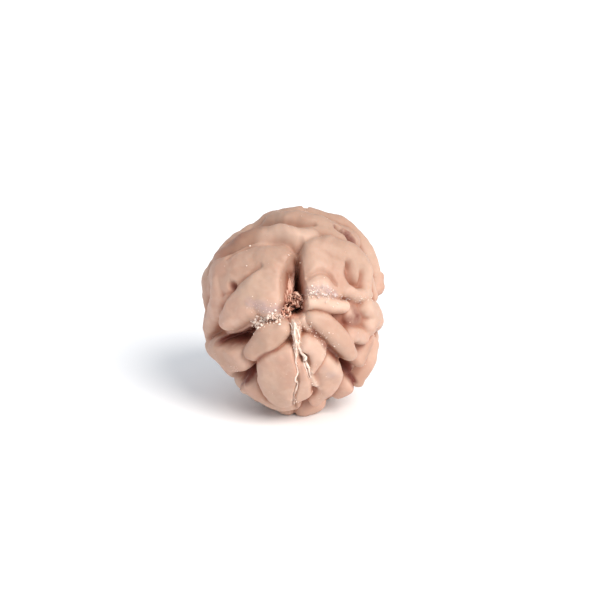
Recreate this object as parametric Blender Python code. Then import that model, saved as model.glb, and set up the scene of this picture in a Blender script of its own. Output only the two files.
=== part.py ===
"""Rudraksha bead: the hard stone of a forest fruit, grown in one piece, with deep rounded lobes.

It lies on its side on a few lobes worn flat, with its mouth turned up a little towards the front.
The front is laid out on a face plane through the middle of the stone: x to the right, y up
the face and z out of it, in millimetres. Four seams run from the mouth round to the far end, and
a threading hole goes through from one to the other.
"""

import math

import bmesh
import bpy
import numpy as np
from mathutils import Matrix, Vector

MM = 0.001

# Driving dimensions, in millimetres and degrees. The face plane is tilted back, and the stone is
# cut off at the height that it stands on.
HALF_DEPTH = 9.2  # middle to the tops of the lobes, out of the face
RELIEF = 2.3  # a lobe's top above the foot of its sides
FLOOR = 0.3  # the bottom of the creases, as a share of the relief
FACE_TILT = 20.0
STAND_HEIGHT = 9.95
HOLE_RADIUS = 0.75
HOLE_WAY = (0.2, 1.5, 8.5)  # from the middle of the stone to the mouth

# Middle to the tops of the lobes round the face's outline, every 22.5 degrees from +X
REACH = (9.1, 9.4, 10.25, 10.3, 10.35, 9.7, 9.7, 9.75, 9.1, 9.45, 9.6, 10.0, 10.7, 10.2, 10.1, 9.3)

# Where the stone stands: right and back of its middle, and half width
FEET = ((-3.3, 0.2, 1.9), (3.5, 0.9, 1.9), (-0.4, 3.7, 1.9))
FOOT_SHARE = 1.15  # how high a foot stands, as a share of the relief

# The seams behind the face: the turn round the face's outline at which each goes over its edge,
# and how far round from the middle of the face it is met first, in degrees
SEAMS = ((6.0, 78.0), (83.0, 84.0), (199.0, 86.0), (274.0, 86.0))
SEAM_END = 174.0
SEAM_POINTS = 14
SEAM_WIDENING = (0.3, 3.5)  # its width at the start, and at the end if it went on widening
SEAM_ROOM = 0.3  # the half width that a seam keeps clear of lobes
SEAM_DEPTH = 0.9
SEAM_RAMP = 16.0  # how far round a seam takes to reach its depth
SEAM_HALF = 0.9
CORD_HEIGHT = 0.35
CORD_HALF = 0.35
FAR_END_DEPTH = 1.0  # the hollow round the hole's far end
FAR_END_HALF = 2.2

# How the outline of a lobe lies to its crest
SPREAD = 1.15  # a lobe's foot against the half widths below
LOBE_LOSS = 0.5  # how far below the tops of the lobes a place on the face plane is seen
WANDER = 0.1  # how far the edges of the lobes stray
WANDER_LENGTH = 4.0
ROLL = 0.07  # how much the tops of the lobes roll
ROLL_LENGTH = 3.0
WAVES = 12  # plane waves in a roll

# The lobes that the face doesn't show: half widths tried in turn, and what they keep to
FAR_WIDTHS = (1.7, 1.5, 1.3, 1.1, 0.9, 0.75)
FAR_TRIES = 400
FAR_LENGTHS = (0.2, 1.1)  # shortest and longest half length, against the half width
FAR_SHARES = (0.92, 1.03)  # how high they stand, as a share of the relief
FAR_EDGE = 0.3  # they stay below this height out of the face
CROWD = 0.74  # how near two crests come, against the sum of their half widths
FILL = 1.12  # how far they are then filled out
FAR_SQUARE = 2.3
FAR_SOFTNESS = 0.25

SEED = 7
TRIANGLES = 7500
CUT_SIZE = 40.0  # well over the stone's size
STONE_COLOUR = (0.56, 0.35, 0.26, 1.0)

# Lobes on the face: a name, how high it stands as a share of the relief, how square its
# shoulders are, how softly it joins the lobes before it in millimetres, and its crest as x, y
# and half width. The masses come first, and the others stand on them.
MASSES = (
    ("left mass", 0.86, 3.0, 0.6, ((-8.6, 3.0, 2.4), (-5.0, 3.6, 2.6), (-4.2, 1.2, 2.4), (-6.8, 0.0, 2.0))),
    ("top mass", 0.84, 3.0, 0.6, ((-7.2, 6.0, 2.2), (-3.0, 8.2, 2.4), (1.5, 8.8, 2.6), (5.4, 7.8, 2.2))),
    ("brow mass", 0.86, 3.0, 0.6, ((-4.6, 5.6, 2.0), (-1.6, 5.6, 1.8))),
    ("right mass", 0.86, 3.0, 0.6, ((2.8, 6.0, 2.4), (5.8, 4.6, 2.4), (3.6, 2.6, 2.2))),
    ("chin mass", 0.88, 3.0, 0.4, ((1.4, -7.2, 1.5), (3.0, -6.6, 1.4), (2.0, -4.8, 0.9))),
)
LOBES = (
    ("left rim", 0.98, 2.5, 0.9, ((-9.2, 3.9, 1.6), (-9.4, 2.2, 1.8), (-9.1, 0.6, 1.5))),
    ("left edge", 0.96, 2.5, 0.7, ((-7.9, 3.2, 1.3), (-7.8, 1.0, 1.5), (-8.4, -0.6, 1.4), (-8.5, -1.5, 1.1))),
    ("upper rim", 0.97, 2.5, 0.7, ((-8.0, 5.2, 1.4), (-6.6, 6.9, 1.5), (-5.3, 8.1, 1.3))),
    ("left brow", 0.98, 2.5, 0.7, ((-1.1, 5.3, 1.2), (-3.4, 5.2, 1.5), (-5.6, 4.8, 1.7), (-7.8, 4.1, 1.3))),
    ("left cheek", 1.04, 2.9, 0.5, ((-2.6, 3.9, 1.7), (-3.4, 2.2, 2.2), (-5.0, 0.6, 2.0), (-6.6, -0.8, 1.4))),
    ("cheek lip", 0.99, 2.6, 0.7, ((-1.9, 4.1, 1.2), (-2.2, 2.4, 1.3), (-2.6, 0.6, 1.5))),
    ("lower band", 0.96, 2.3, 0.9, ((-7.3, 5.4, 1.3), (-5.3, 7.0, 1.3), (-2.4, 7.6, 1.2), (1.5, 7.5, 1.0))),
    ("upper band", 0.97, 2.3, 0.9, ((-4.6, 8.6, 1.3), (-2.4, 9.1, 1.3), (0.3, 9.3, 1.3), (2.6, 8.8, 1.2))),
    ("top left", 0.99, 2.3, 0.6, ((-2.8, 9.6, 1.3), (-0.8, 10.2, 1.4), (0.5, 10.4, 1.3))),
    ("top right", 1.0, 2.3, 0.6, ((1.8, 10.2, 1.4), (4.6, 9.4, 1.5))),
    ("right shoulder", 1.0, 2.3, 0.4, ((4.8, 9.0, 1.4), (6.8, 7.8, 1.4), (8.0, 5.6, 1.2), (8.6, 4.2, 0.9))),
    ("right cheek", 1.03, 2.8, 0.4, ((2.2, 6.0, 1.7), (2.45, 4.3, 2.05), (2.6, 2.6, 1.7))),
    ("right ridge", 1.0, 2.6, 0.6, ((3.6, 6.4, 1.5), (5.9, 5.6, 1.4), (7.2, 4.1, 1.35), (7.3, 2.2, 1.0))),
    ("cheek knob", 1.02, 2.6, 0.15, ((1.8, 2.1, 1.2), (3.0, 2.0, 1.3))),
    ("lower ridge", 0.96, 2.2, 0.5, ((5.3, 1.9, 0.8), (6.3, 1.6, 0.85), (7.6, 1.5, 0.9))),
    ("right knob", 1.1, 2.0, 0.2, ((8.7, 3.4, 0.8), (8.9, 2.2, 1.15))),
    ("right ear", 1.06, 2.5, 0.2, ((7.4, 0.5, 1.1), (8.0, -0.5, 1.65), (7.6, -1.6, 1.3))),
    ("ear root", 0.62, 3.0, 0.6, ((6.4, 0.2, 1.4), (6.6, -1.2, 1.4))),
    ("knob root", 0.78, 2.6, 0.6, ((7.7, 3.8, 1.1), (8.0, 2.6, 1.2), (8.2, 1.4, 1.0))),
    ("jowl root", 0.86, 2.6, 0.9, ((7.7, -3.3, 1.1), (7.4, -4.3, 1.2), (6.9, -5.2, 1.0))),
    ("small bar", 0.99, 2.5, 0.2, ((1.8, 0.7, 1.05), (3.5, 0.5, 1.05), (5.0, 0.3, 0.85))),
    ("finger root", 0.7, 2.4, 0.4, ((1.0, -1.2, 0.9), (2.6, -2.6, 1.1), (3.6, -3.8, 1.1), (4.6, -4.6, 0.8))),
    ("finger", 1.08, 2.6, 0.15, ((2.1, -1.0, 1.0), (3.2, -1.6, 1.35), (4.5, -2.9, 1.35), (5.6, -4.3, 0.95))),
    ("right button", 0.93, 2.4, 0.3, ((5.8, -2.6, 1.0), (7.2, -2.6, 1.0))),
    ("right jowl", 1.02, 2.4, 0.2, ((8.4, -3.8, 1.1), (7.9, -5.4, 1.3), (6.8, -7.1, 1.3))),
    ("right heel", 0.98, 2.3, 0.2, ((4.6, -8.5, 1.0), (5.4, -7.9, 1.0))),
    ("chin right", 1.0, 2.8, 0.2, ((3.4, -5.6, 1.4), (3.7, -6.7, 1.5), (3.2, -8.1, 1.4), (2.4, -9.0, 1.1))),
    ("wedge", 1.1, 3.0, 0.12, ((1.4, -3.4, 1.0), (2.2, -3.8, 1.2), (2.2, -4.9, 0.85), (1.9, -5.8, 0.5))),
    ("left heel", 1.0, 2.3, 0.4, ((-4.9, -7.9, 1.1), (-3.9, -8.4, 1.2))),
    ("keel", 0.93, 2.4, 0.4, ((-4.2, -8.0, 1.2), (-3.0, -9.0, 1.4), (-1.4, -9.6, 1.4), (-0.2, -9.7, 1.1))),
    ("shield", 1.07, 3.6, 0.3, ((-0.8, -4.8, 1.5), (-1.3, -5.8, 2.4), (-1.5, -7.0, 2.8), (-1.4, -8.3, 2.6))),
    ("shield flank", 1.0, 2.8, 0.5, ((0.9, -5.4, 0.5), (1.1, -6.8, 0.95), (1.0, -8.4, 1.1))),
    ("left side", 1.0, 2.5, 0.9, ((-8.8, -1.2, 1.3), (-9.0, -2.6, 1.4), (-8.5, -4.0, 1.4))),
    ("left jowl", 1.02, 2.6, 0.5, ((-8.1, -3.9, 1.5), (-6.9, -4.9, 2.0), (-5.4, -4.9, 1.2))),
    ("thumb", 1.05, 2.4, 0.2, ((-1.3, -2.0, 1.1), (-2.6, -2.9, 1.45), (-4.1, -4.4, 1.25))),
    ("seam root", 0.86, 2.6, 0.6, ((0.1, -1.0, 0.6), (0.3, -2.4, 0.6), (0.3, -4.2, 0.6))),
    ("front foot", 1.06, 2.3, 0.2, ((1.1, -10.5, 1.4), (2.5, -9.9, 1.1))),
)

# Clefts and pits between the lobes: depth below the lobes there, how steep the walls are, then
# x, y and half width
CLEFTS = (
    (2.1, 2, ((-6.8, -3.0, 0.4), (-5.8, -3.0, 0.85), (-4.7, -2.6, 0.8), (-4.0, -2.1, 0.4))),
    (0.25, 2, ((-3.2, 4.1, 0.5), (-4.5, 3.2, 0.5), (-5.8, 2.3, 0.6), (-6.9, 0.4, 0.5))),
    (0.7, 2, ((-5.9, 2.3, 0.65),)),
    (1.9, 2, ((-5.7, -6.6, 0.6), (-4.7, -6.2, 0.75), (-3.6, -5.6, 0.5))),
    (1.8, 2, ((4.8, -5.2, 0.6), (5.3, -5.9, 0.85), (5.4, -6.4, 0.6))),
    (0.5, 2, ((3.3, -3.8, 0.5), (4.6, -4.8, 0.5))),
    (1.4, 2, ((4.0, 7.5, 0.6),)),
    (1.2, 2, ((4.0, 7.5, 0.4), (5.0, 7.0, 0.6), (5.9, 6.1, 0.6), (6.8, 5.4, 0.5))),
    (0.35, 2, ((0.6, 6.7, 0.5), (-1.0, 6.6, 0.6), (-3.0, 6.3, 0.6), (-4.6, 5.9, 0.6), (-6.2, 4.9, 0.5))),
    (0.45, 2, ((1.9, 8.2, 0.4), (-0.5, 8.4, 0.6), (-2.8, 8.2, 0.6), (-4.4, 7.5, 0.6), (-6.4, 6.2, 0.5))),
    (0.9, 2, ((5.2, 4.3, 0.6), (5.5, 3.2, 1.1), (5.8, 2.5, 1.0))),
    (0.4, 2, ((6.6, 3.6, 1.0), (6.8, 2.8, 0.9))),
    (0.3, 2, ((1.2, 3.2, 0.35), (2.4, 3.7, 0.45), (3.6, 3.4, 0.45), (4.2, 2.6, 0.35))),
    (0.25, 2, ((0.6, 6.9, 0.4), (0.3, 5.2, 0.7))),
    (1.1, 5, ((0.2, 5.4, 0.4), (-0.1, 3.8, 0.9), (-0.2, 1.8, 1.3), (-0.1, 0.2, 1.5))),
    (2.6, 5, ((-0.7, 0.2, 0.85), (0.45, 0.2, 0.85))),
    (3.6, 4, ((0.3, 4.3, 0.25), (0.35, 2.8, 0.5), (0.4, 1.2, 0.8), (0.2, 0.2, 1.0))),
    (0.6, 2, ((-0.1, -2.6, 0.22), (0.1, -4.6, 0.22), (0.2, -7.4, 0.2), (0.15, -9.4, 0.2))),
    (0.25, 2, ((0.5, -4.0, 0.22), (1.0, -5.4, 0.25), (1.7, -6.8, 0.3), (1.9, -8.0, 0.4))),
)


def eased(rows, at):
    """A smooth curve through the rows, read at each parameter: whole numbers give the rows."""
    rows = np.vstack([2.0 * rows[0] - rows[1], rows, 2.0 * rows[-1] - rows[-2]])
    index = np.clip(at.astype(int), 0, len(rows) - 4)
    share = (at - index)[:, None]
    before, start, end, after = (rows[index + step] for step in range(4))
    bend = 2.0 * before - 5.0 * start + 4.0 * end - after
    twist = 3.0 * (start - end) + after - before
    return start + 0.5 * share * (end - before + share * (bend + share * twist))


def reach(x, y):
    """Middle to the tops of the lobes on the face plane, on the side where x, y lies."""
    rows = np.array(REACH[-2:] + REACH + REACH[:2])[:, None]
    turn = np.degrees(np.arctan2(y, x)) % 360.0
    return eased(rows, turn / 360.0 * len(REACH) + 2.0)[:, 0]


def outer_radius(directions):
    """Distance from the middle to the round that touches the tops of the lobes."""
    x, y, z = directions.T
    return 1.0 / np.sqrt((x**2 + y**2) / reach(x, y) ** 2 + (z / HALF_DEPTH) ** 2)


def on_face(x, y, below):
    """The points of the round stone over those that are seen at x, y, so far below its tops."""
    grow = 1.0 / (1.0 - below / reach(x, y))
    share = grow * np.hypot(x, y) / reach(x, y)
    grow /= np.maximum(share, 1.0)
    depth = HALF_DEPTH * np.sqrt(np.clip(1.0 - share**2, 0.0, 1.0))
    return np.column_stack([x * grow, y * grow, depth])


def crest_line(crest, below):
    """A crest's points on the round stone and its half widths there, along a smooth curve."""
    if len(crest) == 1:
        crest = crest * 2
    rows = eased(np.array(crest), np.linspace(0.0, len(crest) - 1.0, 4 * len(crest) - 3))
    return on_face(rows[:, 0], rows[:, 1], below), rows[:, 2]


def nearness(points, line, widths):
    """Distance to a line as a share of its half width there: 0 on the line, 1 at its edge."""
    nearest = np.full(len(points), 9.0)
    for start, end, start_width, end_width in zip(line, line[1:], widths, widths[1:]):
        run = end - start
        along = np.clip((points - start) @ run / max(run @ run, 1e-9), 0.0, 1.0)
        gap = np.linalg.norm(points - start - along[:, None] * run, axis=1)
        nearest = np.minimum(nearest, gap / (start_width + along * (end_width - start_width)))
    return nearest


def raised(height, top, blend):
    """The higher of two heights, rounded where they are within the blend of each other."""
    near = np.clip(1.0 - np.abs(height - top) / blend, 0.0, 1.0)
    return np.maximum(height, top) + near**2 * blend / 4.0


def waves(points, length, seed):
    """A smooth roll with a spread of about 1: plane waves of about the length, in all directions."""
    draw = np.random.default_rng(seed)
    total = np.zeros(len(points))
    for _ in range(WAVES):
        way = draw.normal(size=3)
        way *= 2.0 * math.pi / (np.linalg.norm(way) * length * draw.uniform(0.7, 1.4))
        total += np.sin(points @ way + draw.uniform(0.0, 2.0 * math.pi))
    return total / math.sqrt(WAVES / 2.0)


def to_world(points):
    """Points of the face plane's frame turned into the frame that the stone lies in."""
    turn = Matrix.Rotation(math.radians(90.0 - FACE_TILT), 3, "X")
    return points @ np.array(turn).T


def to_face(points):
    """Points of the frame that the stone lies in turned into the face plane's frame."""
    turn = Matrix.Rotation(math.radians(90.0 - FACE_TILT), 3, "X")
    return points @ np.array(turn)


def on_round(points):
    """The points of the round stone in the directions of the points given."""
    directions = points / np.linalg.norm(points, axis=1)[:, None]
    return directions * outer_radius(directions)[:, None]


def seam_line(turn, start):
    """A seam's points on the round stone from the edge of the face to its far end, and widths."""
    polar = np.radians(np.linspace(start, SEAM_END, SEAM_POINTS))
    side = np.sin(polar)
    turn = math.radians(turn)
    points = np.column_stack([math.cos(turn) * side, math.sin(turn) * side, np.cos(polar)])
    return on_round(points), np.minimum(np.linspace(*SEAM_WIDENING, SEAM_POINTS), 1.0)


def far_lobes():
    """Lobes of the sides that the face doesn't show, as crest points, half widths and share.

    The feet come first. The others are short crests, the largest first, each at a seeded random
    place and turn, left out where it is too near to a seam or to a crest before it.
    """
    feet = to_face(np.array([(x, y, -STAND_HEIGHT) for x, y, _ in FEET]))
    lobes = []
    for point, (_, _, width) in zip(on_round(feet), FEET):
        lobes.append((np.vstack([point, point]), np.full(2, width), FOOT_SHARE))
    taken = [np.column_stack(crest_line(crest, LOBE_LOSS)) for _, _, _, _, crest in LOBES]
    taken += [np.column_stack([points, widths]) for points, widths, _ in lobes]
    taken += [np.column_stack(seam_line(*seam)) * (1.0, 1.0, 1.0, SEAM_ROOM) for seam in SEAMS]
    taken = np.vstack(taken)
    draw = np.random.default_rng(SEED)
    for width in np.repeat(FAR_WIDTHS, FAR_TRIES):
        middle = draw.normal(size=3)
        along = np.cross(middle, draw.normal(size=3))
        along *= draw.uniform(*FAR_LENGTHS) * width / np.linalg.norm(along)
        middle = on_round(middle[None])[0]
        share = draw.uniform(*FAR_SHARES)
        points = on_round(np.vstack([middle - along, middle, middle + along]))
        gaps = np.linalg.norm(points[:, None] - taken[None, :, :3], axis=2)
        if points[:, 2].max() > FAR_EDGE or (gaps < CROWD * (taken[:, 3] + width)).any():
            continue
        lobes.append((points, np.full(3, FILL * width), share))
        taken = np.vstack([taken, np.column_stack([points, np.full(3, width)])])
    return lobes


def stone_radius(directions):
    """Distance from the middle to the surface of the stone along each direction."""
    outer = outer_radius(directions)
    points = directions * outer[:, None]
    stray = [waves(points, WANDER_LENGTH, SEED + axis) for axis in range(3)]
    points = points + WANDER * np.column_stack(stray)
    height = np.full(len(directions), FLOOR * RELIEF)
    crests = [(crest_line(crest, LOBE_LOSS), share, square, softness)
              for _, share, square, softness, crest in MASSES + LOBES]
    crests += [((line, widths), share, FAR_SQUARE, FAR_SOFTNESS) for line, widths, share in far_lobes()]
    for line, share, square, softness in crests:
        near = nearness(points, *line) / SPREAD
        dome = np.sqrt(np.clip(1.0 - near**square, 0.0, 1.0)) - np.clip(near - 1.0, 0.0, 1.0)
        height = raised(height, share * RELIEF * dome, softness)
    height += ROLL * waves(points, ROLL_LENGTH, SEED + 3)
    for depth, steepness, line in CLEFTS:
        near = nearness(points, *crest_line(line, LOBE_LOSS + 0.5 * depth)) / SPREAD
        height -= depth * (1.0 - np.clip(near, 0.0, 1.0) ** steepness) ** 2
    polar = np.degrees(np.arccos(directions[:, 2]))
    for turn, start in SEAMS:
        near = nearness(points, *seam_line(turn, start))
        ditch = SEAM_DEPTH * (1.0 - np.clip(near / SEAM_HALF, 0.0, 1.0) ** 2) ** 2
        cord = CORD_HEIGHT * (1.0 - np.clip(near / CORD_HALF, 0.0, 1.0) ** 2) ** 2
        height -= (ditch - cord) * np.clip((polar - start) / SEAM_RAMP, 0.0, 1.0)
    near = np.linalg.norm(points - on_round(-np.array([HOLE_WAY])), axis=1) / FAR_END_HALF
    height -= FAR_END_DEPTH * (1.0 - np.clip(near, 0.0, 1.0) ** 2) ** 2
    return outer - RELIEF + height


def cutter(name, form):
    """A hidden mesh object that only serves to cut the stone."""
    mesh = bpy.data.meshes.new(name)
    form.to_mesh(mesh)
    form.free()
    tool = bpy.data.objects.new(name, mesh)
    tool.hide_render = True
    tool.display_type = "WIRE"
    bpy.context.scene.collection.objects.link(tool)
    return tool


def floor_block():
    """A block with its top at the height on which the stone lies."""
    form = bmesh.new()
    bmesh.ops.create_cube(form, size=CUT_SIZE * MM)
    bmesh.ops.translate(form, vec=(0.0, 0.0, -0.5 * CUT_SIZE * MM), verts=form.verts)
    return cutter("floor_block", form)


def hole_rod(middle):
    """A rod as wide as the threading hole, through the middle of the stone and both its ends."""
    form = bmesh.new()
    bmesh.ops.create_cone(form, cap_ends=True, segments=20, radius1=HOLE_RADIUS * MM,
                          radius2=HOLE_RADIUS * MM, depth=CUT_SIZE * MM)
    way = Vector(to_world(np.array([HOLE_WAY]))[0])
    turn = Vector((0.0, 0.0, 1.0)).rotation_difference(way).to_matrix()
    bmesh.ops.rotate(form, matrix=turn, verts=form.verts)
    bmesh.ops.translate(form, vec=middle, verts=form.verts)
    return cutter("hole_rod", form)


def stone():
    """The whole stone: an icosphere with each of its points moved out to the surface."""
    form = bmesh.new()
    bmesh.ops.create_icosphere(form, subdivisions=7, radius=1.0)
    directions = np.array([vert.co.normalized() for vert in form.verts])
    points = to_world(directions * stone_radius(directions)[:, None]) * MM
    middle = Vector((*(-0.5 * (points.min(axis=0) + points.max(axis=0)))[:2], STAND_HEIGHT * MM))
    for vert, point in zip(form.verts, points):
        vert.co = Vector(point) + middle
    mesh = bpy.data.meshes.new("bead")
    form.to_mesh(mesh)
    faces = len(form.faces)
    form.free()
    mesh.shade_smooth()
    bead = bpy.data.objects.new("bead", mesh)
    bpy.context.scene.collection.objects.link(bead)

    thinned = bead.modifiers.new("thinned", "DECIMATE")
    thinned.ratio = TRIANGLES / faces
    for tool in (floor_block(), hole_rod(middle)):
        cut = bead.modifiers.new(tool.name, "BOOLEAN")
        cut.operation = "DIFFERENCE"
        cut.object = tool
    return bead


def stone_material():
    """Dry fruit stone: hard, pale reddish brown and dull."""
    material = bpy.data.materials.new("fruit stone")
    material.use_nodes = True
    shader = material.node_tree.nodes["Principled BSDF"]
    shader.inputs["Base Color"].default_value = STONE_COLOUR
    shader.inputs["Roughness"].default_value = 0.55
    shader.inputs["Metallic"].default_value = 0.0
    return material


def main():
    for thing in list(bpy.data.objects):
        bpy.data.objects.remove(thing)
    stone().data.materials.append(stone_material())


main()
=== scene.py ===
import math

import bpy
import numpy as np
from mathutils import Matrix, Vector


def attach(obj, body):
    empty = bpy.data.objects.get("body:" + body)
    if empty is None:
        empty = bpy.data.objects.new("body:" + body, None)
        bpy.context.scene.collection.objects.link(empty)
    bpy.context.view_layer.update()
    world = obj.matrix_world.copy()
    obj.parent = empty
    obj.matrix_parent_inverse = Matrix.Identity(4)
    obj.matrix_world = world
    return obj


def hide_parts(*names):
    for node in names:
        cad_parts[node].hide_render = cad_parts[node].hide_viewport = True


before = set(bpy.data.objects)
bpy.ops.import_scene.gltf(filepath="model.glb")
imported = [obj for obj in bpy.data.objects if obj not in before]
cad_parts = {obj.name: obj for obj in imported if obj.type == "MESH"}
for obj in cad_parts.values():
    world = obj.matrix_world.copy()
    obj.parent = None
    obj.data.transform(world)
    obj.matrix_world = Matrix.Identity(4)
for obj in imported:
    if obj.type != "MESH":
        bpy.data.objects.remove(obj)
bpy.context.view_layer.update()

mm = 0.001
tiny = 1e-9  # keeps a stretch of no length from dividing by nothing

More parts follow.
